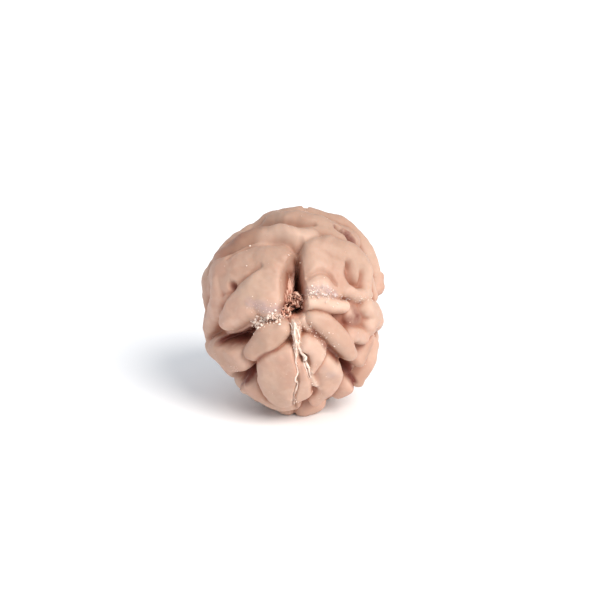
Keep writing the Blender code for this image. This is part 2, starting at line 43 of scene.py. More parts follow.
# The stone's form, in millimetres and degrees, on a face plane through its middle:
# x to the right, y up the face and z out of it. The face is tilted back.
stone = {
    "halfDepth": 9.2,  # from the middle straight out of the face to the tops of the lobes
    "relief": 2.3,  # height of a whole lobe
    "floor": 0.3,  # the ground between the lobes, as a share of the relief
    "faceTilt": 20.0,
    "standHeight": 9.95,  # the middle's height over the surface that it stands on
    "holeRadius": 0.75,
    "holeWay": (0.2, 1.5, 8.5),  # from the middle to the mouth
    # middle to the tops of the lobes, every 22.5 degrees round the face
    "reach": (9.1, 9.4, 10.25, 10.3, 10.35, 9.7, 9.7, 9.75, 9.1, 9.45, 9.6, 10.0, 10.7, 10.2, 10.1, 9.3),
    "feet": ((-3.3, 0.2, 1.9), (3.5, 0.9, 1.9), (-0.4, 3.7, 1.9)),  # x, y and half width from above
    "footShare": 1.15,  # of the relief
    # the turn of each seam round the face, and how far from the face's middle it starts
    "seams": ((6.0, 78.0), (83.0, 84.0), (199.0, 86.0), (274.0, 86.0)),
    "seamEnd": 174.0,
    "seamPoints": 14,
    "seamWidening": (0.3, 3.5),  # of its width from its start to its end, where 1 is the most
    "seamRoom": 0.3,  # share of its width that lobes keep clear of
    "seamDepth": 0.9,
    "seamRamp": 16.0,  # over which it gets to its depth
    "seamHalf": 0.9,
    "cordHeight": 0.35,
    "cordHalf": 0.35,
    "farEndDepth": 1.0,  # the dent at the hole's far end
    "farEndHalf": 2.2,
    "spread": 1.15,  # lobes and clefts end at this many of their half widths
    "lobeLoss": 0.5,  # how far below the tops of the lobes their crests are seen
    "crestSteps": 4,  # points from one place of a crest to the next
    "wander": 0.1,
    "wanderLength": 4.0,
    "roll": 0.07,
    "rollLength": 3.0,
    "waveLengths": (0.7, 1.4),  # shortest and longest wave, over the length asked for
    # the lobes behind the face: half widths, tries with each, and their half lengths over those
    "farWidths": (1.7, 1.5, 1.3, 1.1, 0.9, 0.75),
    "farTries": 400,
    "farLengths": (0.2, 1.1),
    "farShares": (0.92, 1.03),  # of the relief
    "farEdge": 0.3,  # none reaches further forward
    "crowd": 0.74,  # two crests lie at least this share of their widths apart
    "fill": 1.12,  # then each is widened by this
    "farSquare": 2.3,
    "farSoftness": 0.25,
    "seed": 7,
    # share of the relief, squareness, softness, then the crest as x, y and half width
    "masses": (
        (0.86, 3.0, 0.6, ((-8.6, 3.0, 2.4), (-5.0, 3.6, 2.6), (-4.2, 1.2, 2.4), (-6.8, 0.0, 2.0))),
        (0.84, 3.0, 0.6, ((-7.2, 6.0, 2.2), (-3.0, 8.2, 2.4), (1.5, 8.8, 2.6), (5.4, 7.8, 2.2))),
        (0.86, 3.0, 0.6, ((-4.6, 5.6, 2.0), (-1.6, 5.6, 1.8))),
        (0.86, 3.0, 0.6, ((2.8, 6.0, 2.4), (5.8, 4.6, 2.4), (3.6, 2.6, 2.2))),
        (0.88, 3.0, 0.4, ((1.4, -7.2, 1.5), (3.0, -6.6, 1.4), (2.0, -4.8, 0.9))),
    ),
    "lobes": (
        (0.98, 2.5, 0.9, ((-9.2, 3.9, 1.6), (-9.4, 2.2, 1.8), (-9.1, 0.6, 1.5))),
        (0.96, 2.5, 0.7, ((-7.9, 3.2, 1.3), (-7.8, 1.0, 1.5), (-8.4, -0.6, 1.4), (-8.5, -1.5, 1.1))),
        (0.97, 2.5, 0.7, ((-8.0, 5.2, 1.4), (-6.6, 6.9, 1.5), (-5.3, 8.1, 1.3))),
        (0.98, 2.5, 0.7, ((-1.1, 5.3, 1.2), (-3.4, 5.2, 1.5), (-5.6, 4.8, 1.7), (-7.8, 4.1, 1.3))),
        (1.04, 2.9, 0.5, ((-2.6, 3.9, 1.7), (-3.4, 2.2, 2.2), (-5.0, 0.6, 2.0), (-6.6, -0.8, 1.4))),
        (0.99, 2.6, 0.7, ((-1.9, 4.1, 1.2), (-2.2, 2.4, 1.3), (-2.6, 0.6, 1.5))),
        (0.96, 2.3, 0.9, ((-7.3, 5.4, 1.3), (-5.3, 7.0, 1.3), (-2.4, 7.6, 1.2), (1.5, 7.5, 1.0))),
        (0.97, 2.3, 0.9, ((-4.6, 8.6, 1.3), (-2.4, 9.1, 1.3), (0.3, 9.3, 1.3), (2.6, 8.8, 1.2))),
        (0.99, 2.3, 0.6, ((-2.8, 9.6, 1.3), (-0.8, 10.2, 1.4), (0.5, 10.4, 1.3))),
        (1.0, 2.3, 0.6, ((1.8, 10.2, 1.4), (4.6, 9.4, 1.5))),
        (1.0, 2.3, 0.4, ((4.8, 9.0, 1.4), (6.8, 7.8, 1.4), (8.0, 5.6, 1.2), (8.6, 4.2, 0.9))),
        (1.03, 2.8, 0.4, ((2.2, 6.0, 1.7), (2.45, 4.3, 2.05), (2.6, 2.6, 1.7))),
        (1.0, 2.6, 0.6, ((3.6, 6.4, 1.5), (5.9, 5.6, 1.4), (7.2, 4.1, 1.35), (7.3, 2.2, 1.0))),
        (1.02, 2.6, 0.15, ((1.8, 2.1, 1.2), (3.0, 2.0, 1.3))),
        (0.96, 2.2, 0.5, ((5.3, 1.9, 0.8), (6.3, 1.6, 0.85), (7.6, 1.5, 0.9))),
        (1.1, 2.0, 0.2, ((8.7, 3.4, 0.8), (8.9, 2.2, 1.15))),
        (1.06, 2.5, 0.2, ((7.4, 0.5, 1.1), (8.0, -0.5, 1.65), (7.6, -1.6, 1.3))),
        (0.62, 3.0, 0.6, ((6.4, 0.2, 1.4), (6.6, -1.2, 1.4))),
        (0.78, 2.6, 0.6, ((7.7, 3.8, 1.1), (8.0, 2.6, 1.2), (8.2, 1.4, 1.0))),
        (0.86, 2.6, 0.9, ((7.7, -3.3, 1.1), (7.4, -4.3, 1.2), (6.9, -5.2, 1.0))),
        (0.99, 2.5, 0.2, ((1.8, 0.7, 1.05), (3.5, 0.5, 1.05), (5.0, 0.3, 0.85))),
        (0.7, 2.4, 0.4, ((1.0, -1.2, 0.9), (2.6, -2.6, 1.1), (3.6, -3.8, 1.1), (4.6, -4.6, 0.8))),
        (1.08, 2.6, 0.15, ((2.1, -1.0, 1.0), (3.2, -1.6, 1.35), (4.5, -2.9, 1.35), (5.6, -4.3, 0.95))),
        (0.93, 2.4, 0.3, ((5.8, -2.6, 1.0), (7.2, -2.6, 1.0))),
        (1.02, 2.4, 0.2, ((8.4, -3.8, 1.1), (7.9, -5.4, 1.3), (6.8, -7.1, 1.3))),
        (0.98, 2.3, 0.2, ((4.6, -8.5, 1.0), (5.4, -7.9, 1.0))),
        (1.0, 2.8, 0.2, ((3.4, -5.6, 1.4), (3.7, -6.7, 1.5), (3.2, -8.1, 1.4), (2.4, -9.0, 1.1))),
        (1.1, 3.0, 0.12, ((1.4, -3.4, 1.0), (2.2, -3.8, 1.2), (2.2, -4.9, 0.85), (1.9, -5.8, 0.5))),
        (1.0, 2.3, 0.4, ((-4.9, -7.9, 1.1), (-3.9, -8.4, 1.2))),
        (0.93, 2.4, 0.4, ((-4.2, -8.0, 1.2), (-3.0, -9.0, 1.4), (-1.4, -9.6, 1.4), (-0.2, -9.7, 1.1))),
        (1.07, 3.6, 0.3, ((-0.8, -4.8, 1.5), (-1.3, -5.8, 2.4), (-1.5, -7.0, 2.8), (-1.4, -8.3, 2.6))),
        (1.0, 2.8, 0.5, ((0.9, -5.4, 0.5), (1.1, -6.8, 0.95), (1.0, -8.4, 1.1))),
        (1.0, 2.5, 0.9, ((-8.8, -1.2, 1.3), (-9.0, -2.6, 1.4), (-8.5, -4.0, 1.4))),
        (1.02, 2.6, 0.5, ((-8.1, -3.9, 1.5), (-6.9, -4.9, 2.0), (-5.4, -4.9, 1.2))),
        (1.05, 2.4, 0.2, ((-1.3, -2.0, 1.1), (-2.6, -2.9, 1.45), (-4.1, -4.4, 1.25))),
        (0.86, 2.6, 0.6, ((0.1, -1.0, 0.6), (0.3, -2.4, 0.6), (0.3, -4.2, 0.6))),
        (1.06, 2.3, 0.2, ((1.1, -10.5, 1.4), (2.5, -9.9, 1.1))),
    ),
    # depth, steepness, then x, y and half width
    "clefts": (
        (2.1, 2, ((-6.8, -3.0, 0.4), (-5.8, -3.0, 0.85), (-4.7, -2.6, 0.8), (-4.0, -2.1, 0.4))),
        (0.25, 2, ((-3.2, 4.1, 0.5), (-4.5, 3.2, 0.5), (-5.8, 2.3, 0.6), (-6.9, 0.4, 0.5))),
        (0.7, 2, ((-5.9, 2.3, 0.65),)),
        (1.9, 2, ((-5.7, -6.6, 0.6), (-4.7, -6.2, 0.75), (-3.6, -5.6, 0.5))),
        (1.8, 2, ((4.8, -5.2, 0.6), (5.3, -5.9, 0.85), (5.4, -6.4, 0.6))),
        (0.5, 2, ((3.3, -3.8, 0.5), (4.6, -4.8, 0.5))),
        (1.4, 2, ((4.0, 7.5, 0.6),)),
        (1.2, 2, ((4.0, 7.5, 0.4), (5.0, 7.0, 0.6), (5.9, 6.1, 0.6), (6.8, 5.4, 0.5))),
        (0.35, 2, ((0.6, 6.7, 0.5), (-1.0, 6.6, 0.6), (-3.0, 6.3, 0.6), (-4.6, 5.9, 0.6), (-6.2, 4.9, 0.5))),
        (0.45, 2, ((1.9, 8.2, 0.4), (-0.5, 8.4, 0.6), (-2.8, 8.2, 0.6), (-4.4, 7.5, 0.6), (-6.4, 6.2, 0.5))),
        (0.9, 2, ((5.2, 4.3, 0.6), (5.5, 3.2, 1.1), (5.8, 2.5, 1.0))),
        (0.4, 2, ((6.6, 3.6, 1.0), (6.8, 2.8, 0.9))),
        (0.3, 2, ((1.2, 3.2, 0.35), (2.4, 3.7, 0.45), (3.6, 3.4, 0.45), (4.2, 2.6, 0.35))),
        (0.25, 2, ((0.6, 6.9, 0.4), (0.3, 5.2, 0.7))),
        (1.1, 5, ((0.2, 5.4, 0.4), (-0.1, 3.8, 0.9), (-0.2, 1.8, 1.3), (-0.1, 0.2, 1.5))),
        (2.6, 5, ((-0.7, 0.2, 0.85), (0.45, 0.2, 0.85))),
        (3.6, 4, ((0.3, 4.3, 0.25), (0.35, 2.8, 0.5), (0.4, 1.2, 0.8), (0.2, 0.2, 1.0))),
        (0.6, 2, ((-0.1, -2.6, 0.22), (0.1, -4.6, 0.22), (0.2, -7.4, 0.2), (0.15, -9.4, 0.2))),
        (0.25, 2, ((0.5, -4.0, 0.22), (1.0, -5.4, 0.25), (1.7, -6.8, 0.3), (1.9, -8.0, 0.4))),
    ),
}


# Catmull-Rom curve through the rows, read at each parameter
def eased(rows, at):
    rows = np.vstack([2 * rows[0] - rows[1], rows, 2 * rows[-1] - rows[-2]])
    index = np.clip(at.astype(int), 0, len(rows) - 4)
    share = (at - index)[:, None]
    before, start, end, after = (rows[index + step] for step in range(4))
    bend = 2 * before - 5 * start + 4 * end - after
    twist = 3 * (start - end) + after - before
    return start + 0.5 * share * (end - before + share * (bend + share * twist))


# The outline's radius on the side where x, y lies: the curve through the reach values
def outlineReach(x, y):
    rows = np.array(stone["reach"][-2:] + stone["reach"] + stone["reach"][:2])[:, None]
    turn = np.degrees(np.arctan2(y, x)) % 360
    return eased(rows, turn / 360 * len(stone["reach"]) + 2)[:, 0]


# The round over the lobe tops: an ellipsoid whose outline on the face is the reach curve, at
# one over the root of (x^2 + y^2) / reach^2 + z^2 / depth^2 from the middle
def outerRadius(directions):
    x, y, z = directions.T
    return 1 / np.sqrt((x**2 + y**2) / outlineReach(x, y) ** 2 + (z / stone["halfDepth"]) ** 2)


# Points of that round over what is seen at x, y on the face, so far below the tops: x and y
# grow by reach / (reach - below), at most to the outline, and z lies on the ellipsoid over them
def onFace(x, y, below):
    grow = 1 / (1 - below / outlineReach(x, y))
    share = grow * np.hypot(x, y) / outlineReach(x, y)
    grow = grow / np.maximum(share, 1)
    depth = stone["halfDepth"] * np.sqrt(np.clip(1 - share**2, 0, 1))
    return np.column_stack([x * grow, y * grow, depth])


# A crest's points on that round and its half widths, read along the smooth curve through its
# places; a single place is a crest of no length
def crestLine(crest, below):
    if len(crest) == 1:
        crest = crest * 2
    steps = stone["crestSteps"] * (len(crest) - 1) + 1
    rows = eased(np.array(crest, float), np.linspace(0, len(crest) - 1, steps))
    return onFace(rows[:, 0], rows[:, 1], below), rows[:, 2]


# Distance to a line over its half width there: 0 on the line, 1 at its edge. It is the least
# over the line's stretches of the gap to the nearest place on each.
def nearness(points, line, widths):
    nearest = np.full(len(points), np.inf)
    for start, end, startWidth, endWidth in zip(line, line[1:], widths, widths[1:]):
        run = end - start
        along = np.clip((points - start) @ run / max(run @ run, tiny), 0, 1)
        gap = np.linalg.norm(points - start - along[:, None] * run, axis=1)
        nearest = np.minimum(nearest, gap / (startWidth + along * (endWidth - startWidth)))
    return nearest


# A bell over a nearness, (1 - nearness^steepness)^2: 1 on the line, 0 from its edge on
def bell(near, steepness=2):
    return (1 - np.clip(near, 0, 1) ** steepness) ** 2


# The higher of two heights, rounded where they are within the blend of each other by
# (1 - gap / blend)^2 times a quarter of the blend
def raised(height, top, blend):
    near = np.clip(1 - np.abs(height - top) / blend, 0, 1)
    return np.maximum(height, top) + near**2 * blend / 4


# A smooth roll with a spread of about 1: the sines of plane waves of about the length in all
# directions, added up and divided by the root of half their count
def waves(points, length, seed, count=12):
    draw = np.random.default_rng(seed)
    total = np.zeros(len(points))
    for _ in range(count):
        way = draw.normal(size=3)
        way *= 2 * math.pi / (np.linalg.norm(way) * length * draw.uniform(*stone["waveLengths"]))
        total += np.sin(points @ way + draw.uniform(0, 2 * math.pi))
    return total / math.sqrt(count / 2)


# The turn about X that brings the face plane's frame upright, tilted back
def faceTurn():
    return np.array(Matrix.Rotation(math.radians(90 - stone["faceTilt"]), 3, "X"))


# Vectors over their own lengths
def unit(points):
    return points / np.linalg.norm(points, axis=-1)[..., None]


# Places on a circle of radius 1: the cosine of the angle along its first axis and the sine
# along its second
def onCircle(angle, first, second):
    return np.cos(angle)[..., None] * first + np.sin(angle)[..., None] * second


# Where the rays from the middle through these points meet the round
def onRound(points):
    return unit(points) * outerRadius(unit(points))[:, None]


# A seam behind the face: a half circle of the round from the face's edge to the far end
def seamLine(turn, start):
    polar = np.radians(np.linspace(start, stone["seamEnd"], stone["seamPoints"]))
    turn = math.radians(turn)
    side = np.sin(polar)
    points = np.column_stack([math.cos(turn) * side, math.sin(turn) * side, np.cos(polar)])
    return onRound(points), np.minimum(np.linspace(*stone["seamWidening"], stone["seamPoints"]), 1)


# The feet, then short crests at seeded places, the largest first, each clear of those before it
def farLobes():
    feet = np.array([(x, y, -stone["standHeight"]) for x, y, _ in stone["feet"]]) @ faceTurn()
    lobes = []
    for point, (_, _, width) in zip(onRound(feet), stone["feet"]):
        lobes.append((np.vstack([point, point]), np.full(2, width), stone["footShare"]))
    taken = [np.column_stack(crestLine(crest, stone["lobeLoss"])) for _, _, _, crest in stone["lobes"]]
    taken += [np.column_stack([points, widths]) for points, widths, _ in lobes]
    taken += [np.column_stack(seamLine(*seam)) * (1, 1, 1, stone["seamRoom"]) for seam in stone["seams"]]
    taken = np.vstack(taken)
    draw = np.random.default_rng(stone["seed"])
    for width in np.repeat(stone["farWidths"], stone["farTries"]):
        middle = draw.normal(size=3)
        along = np.cross(middle, draw.normal(size=3))
        along *= draw.uniform(*stone["farLengths"]) * width / np.linalg.norm(along)
        middle = onRound(middle[None])[0]
        share = draw.uniform(*stone["farShares"])
        points = onRound(np.vstack([middle - along, middle, middle + along]))
        gaps = np.linalg.norm(points[:, None] - taken[None, :, :3], axis=2)
        if points[:, 2].max() > stone["farEdge"] or (gaps < stone["crowd"] * (taken[:, 3] + width)).any():
            continue
        lobes.append((points, np.full(3, stone["fill"] * width), share))
        taken = np.vstack([taken, np.column_stack([points, np.full(3, width)])])
    return lobes


farCrests = farLobes()


# Points on the round in these directions, each coordinate strayed by waves of its own so that
# no edge is a clean arc
def strayed(directions):
    points = directions * outerRadius(directions)[:, None]
    stray = [waves(points, stone["wanderLength"], stone["seed"] + axis) for axis in range(3)]
    return points + stone["wander"] * np.column_stack(stray)


# Height over the foot of the lobes: the rounded highest of all domes, each the root of
# 1 - nearness^squareness over its crest, with smooth waves, less the bell of each cleft, whose
# line is seen half its depth lower, of each seam without its cord, and of the far end's dent
def stoneHeight(directions):
    points = strayed(directions)
    height = np.full(len(directions), stone["floor"] * stone["relief"])
    crests = [(crestLine(crest, stone["lobeLoss"]), share, square, softness)
              for share, square, softness, crest in stone["masses"] + stone["lobes"]]
    crests += [((line, widths), share, stone["farSquare"], stone["farSoftness"])
               for line, widths, share in farCrests]
    for line, share, square, softness in crests:
        near = nearness(points, *line) / stone["spread"]
        dome = np.sqrt(np.clip(1 - near**square, 0, 1)) - np.clip(near - 1, 0, 1)
        height = raised(height, share * stone["relief"] * dome, softness)
    height += stone["roll"] * waves(points, stone["rollLength"], stone["seed"] + 3)
    for depth, steepness, line in stone["clefts"]:
        near = nearness(points, *crestLine(line, stone["lobeLoss"] + depth / 2))
        height -= depth * bell(near / stone["spread"], steepness)
    polar = np.degrees(np.arccos(directions[:, 2]))
    for turn, start in stone["seams"]:
        near = nearness(points, *seamLine(turn, start))
        ditch = stone["seamDepth"] * bell(near / stone["seamHalf"])
        cord = stone["cordHeight"] * bell(near / stone["cordHalf"])
        height -= (ditch - cord) * np.clip((polar - start) / stone["seamRamp"], 0, 1)
    farEnd = onRound(-np.array([stone["holeWay"]]))
    height -= stone["farEndDepth"] * bell(np.linalg.norm(points - farEnd, axis=1) / stone["farEndHalf"])
    return height


# A grid of points as quads: its columns always close on themselves, its rows only where told
def gridFaces(rows, columns, closeRows=False):
    row = np.arange(rows if closeRows else rows - 1)[:, None]
    column = np.arange(columns)[None]
    nextRow, nextColumn = (row + 1) % rows, (column + 1) % columns
    corners = (row * columns + column, row * columns + nextColumn,
               nextRow * columns + nextColumn, nextRow * columns + column)
    return np.stack(np.broadcast_arrays(*corners), axis=-1).reshape(-1, 4)


# Six times the volume that the quads a, b, c, d close, as the sum of a.(b x c) + a.(c x d), which
# is less than nothing where they face inwards
def signedVolume(points, quads):
    a, b, c, d = (points[quads[:, corner]] for corner in range(4))
    return np.einsum("ij,ij->", a, np.cross(b, c)) + np.einsum("ij,ij->", a, np.cross(c, d))


# A piece at the origin from points in millimetres and quads, faced outwards, with a value at
# each point for each mark. It rides on the one body.
def meshPiece(name, points, quads, material, marks={}):
    if signedVolume(points, quads) < 0:
        quads = quads[:, ::-1]
    mesh = bpy.data.meshes.new(name)
    mesh.vertices.add(len(points))
    mesh.vertices.foreach_set("co", (points * mm).astype(np.float32).ravel())
    mesh.loops.add(quads.size)
    mesh.loops.foreach_set("vertex_index", quads.astype(np.int32).ravel())
    mesh.polygons.add(len(quads))
    mesh.polygons.foreach_set("loop_start", np.arange(0, quads.size, 4, dtype=np.int32))
    mesh.update(calc_edges=True)
    mesh.shade_smooth()
    for mark, values in marks.items():
        layer = mesh.attributes.new(mark, "FLOAT", "POINT")
        layer.data.foreach_set("value", values.astype(np.float32))
    mesh.materials.append(material)
    piece = bpy.data.objects.new(name, mesh)
    bpy.context.scene.collection.objects.link(piece)
    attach(piece, "root")
    print(f"{name}: {len(points)} points, {2 * len(quads)} triangles")
    return piece


# Linear colour of an sRGB hex: each channel c as c / 12.92 in the dark, else
# ((c + 0.055) / 1.055)^2.4
def linear(hexColour):
    channels = np.array([int(hexColour[at:at + 2], 16) for at in (0, 2, 4)]) / 255
    low = channels <= 0.04045
    return (*np.where(low, channels / 12.92, ((channels + 0.055) / 1.055) ** 2.4), 1.0)


# Adds a node with its settings, a value or a link into each input named, and gives its output
def node(tree, kind, settings={}, inputs={}, output=0):
    made = tree.nodes.new("ShaderNode" + kind)
    for key, value in settings.items():
        setattr(made, key, value)
    for key, value in inputs.items():
        if isinstance(value, bpy.types.NodeSocket):
            tree.links.new(value, made.inputs[key])
        else:
            made.inputs[key].default_value = value
    return made.outputs[output]


# A new material, its node tree and its shader
def newMaterial(name):
    material = bpy.data.materials.new(name)
    material.use_nodes = True
    tree = material.node_tree
    return material, tree, tree.nodes["Principled BSDF"]


view = {
    "elevation": 20,  # the camera looks down at the bead
    "distance": 500,
    "width": 60,  # what the picture takes in at the bead
    "aside": 0.7,  # the bead lies this far left of the picture's middle
    "above": 1.0,  # and this far below it
    "sensor": 36,
    "near": 10,
}
# The camera lies the distance away from the aim, and its lens takes in the width there
tilt = math.radians(view["elevation"])
away = Vector((0, -math.cos(tilt), math.sin(tilt)))
upward = Vector((0, math.sin(tilt), math.cos(tilt)))
aim = Vector((view["aside"], 0, stone["standHeight"])) + view["above"] * upward
cameraData = bpy.data.cameras.new("camera")
cameraData.sensor_width = view["sensor"]
cameraData.lens = view["sensor"] * view["distance"] / view["width"]
cameraData.clip_start = view["near"] * mm
camera = bpy.data.objects.new("camera", cameraData)
camera.location = (aim + view["distance"] * away) * mm
camera.rotation_mode = "QUATERNION"
camera.rotation_quaternion = away.to_track_quat("Z", "Y")
bpy.context.scene.collection.objects.link(camera)
bpy.context.scene.camera = camera
bpy.context.scene.view_settings.view_transform = "Standard"

studio = {
    "floorHalf": 1500,
    "floorColour": "fafbfc",
    "floorRoughness": 0.9,
    "floorGloss": 0.2,
    "skyColour": "eef3f9",
    "skyStrength": (0.7, 0.85),  # level with the bead and overhead
    "lampFrom": (0.5, -0.6, 0.68),  # the big soft light: front right, high
    "lampSpread": 36,  # degrees across
    "lampStrength": 3.1,
    "lampColour": "fff8f2",
}

floorMesh = bpy.data.meshes.new("floor")
half = studio["floorHalf"] * mm
floorCorners = [(-half, -half, 0), (half, -half, 0), (half, half, 0), (-half, half, 0)]
floorMesh.from_pydata(floorCorners, [], [(0, 1, 2, 3)])
floor = bpy.data.objects.new("floor", floorMesh)
bpy.context.scene.collection.objects.link(floor)
paintedBoard, tree, shader = newMaterial("paintedBoard")  # matt white board: no gloss of its own
shader.inputs["Base Color"].default_value = linear(studio["floorColour"])
shader.inputs["Roughness"].default_value = studio["floorRoughness"]
shader.inputs["Specular IOR Level"].default_value = studio["floorGloss"]
floorMesh.materials.append(paintedBoard)

lampData = bpy.data.lights.new("lamp", "SUN")
lampData.angle = math.radians(studio["lampSpread"])
lampData.energy = studio["lampStrength"]
lampData.color = linear(studio["lampColour"])[:3]
lamp = bpy.data.objects.new("lamp", lampData)
lamp.rotation_mode = "QUATERNION"
lamp.rotation_quaternion = Vector(studio["lampFrom"]).to_track_quat("Z", "Y")
bpy.context.scene.collection.objects.link(lamp)

sky = bpy.data.worlds.new("sky")  # even light from all round, brighter overhead
bpy.context.scene.world = sky
sky.use_nodes = True
tree = sky.node_tree
direction = node(tree, "TexCoord", output="Generated")
rise = node(tree, "SeparateXYZ", {}, {0: direction}, "Z")
level, overhead = studio["skyStrength"]
strength = node(tree, "MapRange", {}, {"Value": rise, "To Min": level, "To Max": overhead})
background = tree.nodes["Background"]
background.inputs["Color"].default_value = linear(studio["skyColour"])
tree.links.new(strength, background.inputs["Strength"])
print("camera, floor and light made")

stoneLook = {
    "tan": "c1a18d",
    # noises over the stone: size in millimetres and detail
    "noises": (("tone", 4.5, 3), ("mottle", 0.9, 4), ("grain", 0.22, 2)),
    "flakeSize": 0.35,
    "flakes": (0.5, 0.2),  # from between the flakes to the middle of one
    # laid over the tan in turn: what each follows, from where to where, its share and colour
    "layers": (
        ("tone", 0.35, 0.65, 1, "be9480"),  # rosy
        ("mottle", 0.45, 0.75, 0.4, "d6baa8"),  # pale
        ("hollow", 0.3, 1.15, 0.75, "95594a"),  # painted shade: red brown, darker the lower the skin lies between the lobes
        ("crease", 0, 1, 0.75, "96593f"),  # painted shade: brown in every crease
        ("crown", 0, 1, 0.12, "dfbfae"),  # painted highlight: paler on the crowns
        # painted shade, partly the stone's own warmer brown: darker on the top left, the left edge and the
        # lower lobes
        ("tawnyShade", 0, 1, 1, "9e745e"),
        ("height", 13 * mm, 19 * mm, 0.6, "9c7a66"),  # painted shade: browner and darker towards the top
        # painted highlight: paler on the brightest lobes
        ("paintedHighlight", 0, 1, 1, "ecccb8"),
        ("paintedShade", 0.05, 0.42, 1, "74382a"),  # painted shade: dark red brown in the pits, clefts and crevices
        ("mouth", 0, 1, 1, "d99a80"),
        ("bloom", 0.15, 0.65, 1, "ab8f8c"),  # lilac grey
        ("scaly", 0, 1, 0.9, "ece0dc"),
        ("cream", 0, 1, 1, "f0dcc9"),
    ),
    "spotted": (("paintedShade", "mottle"), ("bloom", "mottle"), ("scaly", "flakes")),
    "roughness": (0.3, 0.7, 0.5, 0.64),  # from where to where on the mottle, and the roughness there
    # bumps: what each follows, strength and height in millimetres
    "bumps": (("grain", 0.25, 0.02), ("mottle", 0.4, 0.08), ("scaly", 1, 0.12)),
    "ior": 1.5,
    "softness": 0.12,
    "softReach": (0.6, 0.27, 0.15),  # how far red, green and blue light go into it
}

# marks on the face, each with its strength, how far below the lobes' tops it is seen, and its
# line as x, y and half width
faceMarks = {
    "mouth": (
        (1, 0.5, ((0.25, 4.6, 0.25), (0.3, 3, 0.5), (0.1, 1.2, 0.9), (0.1, 0, 1.15), (0.1, -0.7, 0.9))),
    ),
    # painted shade, partly the stone's own warmer brown, on the top left, the left edge and the lower lobes
    "tawnyShade": (
        (0.9, 0.4, ((-6.4, 6, 1.6), (-4.6, 7.3, 2), (-2.8, 8.4, 1.6))),
        (0.42, 0.5, ((-1.4, -2.2, 1.2), (-2.8, -3, 1.5), (-4.2, -4.4, 1.3))),
        (0.5, 0.4, ((7.8, -3.8, 1.4), (7.2, -5.2, 1.8), (6.8, -6.8, 1.6))),
        (0.3, 0.5, ((8.7, 3.2, 1), (8.9, 2.2, 1.2))),
        (0.3, 0.5, ((2.6, -1.2, 1.2), (4, -2.4, 1.6), (5.4, -4.2, 1.3))),
        (0.35, 0.5, ((-8.6, 2.6, 1.4), (-8.6, 0, 1.6), (-8.4, -3, 1.6), (-6.4, -5, 2))),
        (0.15, 0.5, ((-1.4, -6, 2.2), (-1.4, -8.2, 2.2))),
    ),
    # painted highlight: paler patches on the right cheek, its knob, the bar, the wedge and the band
    "paintedHighlight": (
        (0.12, 0.5, ((2.2, 5.4, 1.6), (2.4, 3.8, 1.8))),
        (0.45, 0.5, ((1.9, 2.1, 1.1), (3, 2, 1.2))),
        (0.3, 0.5, ((1.8, 0.7, 1), (3.5, 0.5, 1), (5, 0.3, 0.8))),
        (0.3, 0.5, ((1.4, -3.6, 0.9), (2.2, -4.2, 1))),
        (0.3, 0.5, ((-3, 6.9, 1.3), (-0.8, 7.2, 1.3), (1.2, 7.3, 1.2))),
    ),
    "scaly": (
        (0.9, 0.5, ((-1, -0.5, 0.35), (-1.8, -0.7, 0.4), (-3.1, -1.1, 0.45), (-4.3, -1.6, 0.4))),
        (0.9, 0.5, ((1.5, 1.4, 0.5), (2.5, 1.7, 0.8), (3.5, 1.6, 0.7), (4.6, 1.3, 0.35), (7, 1, 0.25))),
    ),
    "bloom": (
        (0.9, 0.3, ((-4.2, 0.7, 0.9), (-2.8, 0.3, 1.1), (-1.4, 0, 0.8))),
        (0.8, 0.3, ((1.3, 2, 0.7), (2.6, 1.9, 1), (4, 1.7, 0.8))),
        (0.6, 0.3, ((3.2, -5.5, 0.7), (4, -6.4, 0.8))),
        (0.5, 0.3, ((6, -2.4, 0.7), (7, -2.6, 0.8))),
    ),
    # painted shade: dark red brown in the pits, the clefts, under the lobes and on the top left
    "paintedShade": (
        (1, 1.5, ((-6.9, -2.9, 0.5), (-5.7, -2.9, 0.9), (-4.4, -2.3, 0.7))),
        (1, 1.2, ((-5.8, -6.9, 0.45), (-4.6, -6.6, 0.8), (-3.7, -6, 0.5))),
        (1, 1.5, ((4.7, -5.1, 0.5), (5.4, -6, 0.9), (5.5, -6.6, 0.5))),
        (0.6, 1, ((5.9, 0.5, 0.5), (6.2, -0.7, 1), (5.3, -1.3, 0.7))),
        (0.8, 0.7, ((4, 8, 0.5), (5.2, 7.5, 0.4), (6, 6.7, 0.5), (6.9, 5.6, 0.4))),
        (0.6, 0.5, ((1.9, -2.2, 0.35), (3.3, -3.9, 0.5), (4.6, -5, 0.5))),
        (0.6, 0.8, ((-6, 2.3, 0.6),)),
        (0.35, 0.8, ((5, 4, 0.5), (5.3, 3, 0.8), (5.6, 2.4, 0.8))),
        (0.5, 0.3, ((-1.8, -3.8, 0.3), (-2.8, -4.2, 0.3), (-3.6, -5.2, 0.35))),
        (0.12, 0.3, ((2.6, -1.3, 1.2), (4.6, -3.6, 1.2))),
        (0.3, 0.3, ((-7.4, 5.4, 1.4), (-5.4, 7.2, 1.6), (-3.2, 8.4, 1.4))),
    ),
    "cream": (
        (0.7, 0.5, ((0, -1.2, 0.25), (0.2, -2.4, 0.35), (0.35, -3.4, 0.3), (0.3, -4.6, 0.15))),
        (0.7, 0.5, ((0.3, -4.6, 0.15), (0.25, -6.6, 0.13), (0.1, -8.4, 0.13))),
        (0.5, 0.5, ((0.6, -3.7, 0.35), (1.2, -5, 0.3), (1.9, -6.6, 0.4), (2.3, -7.8, 0.4))),
    ),
}
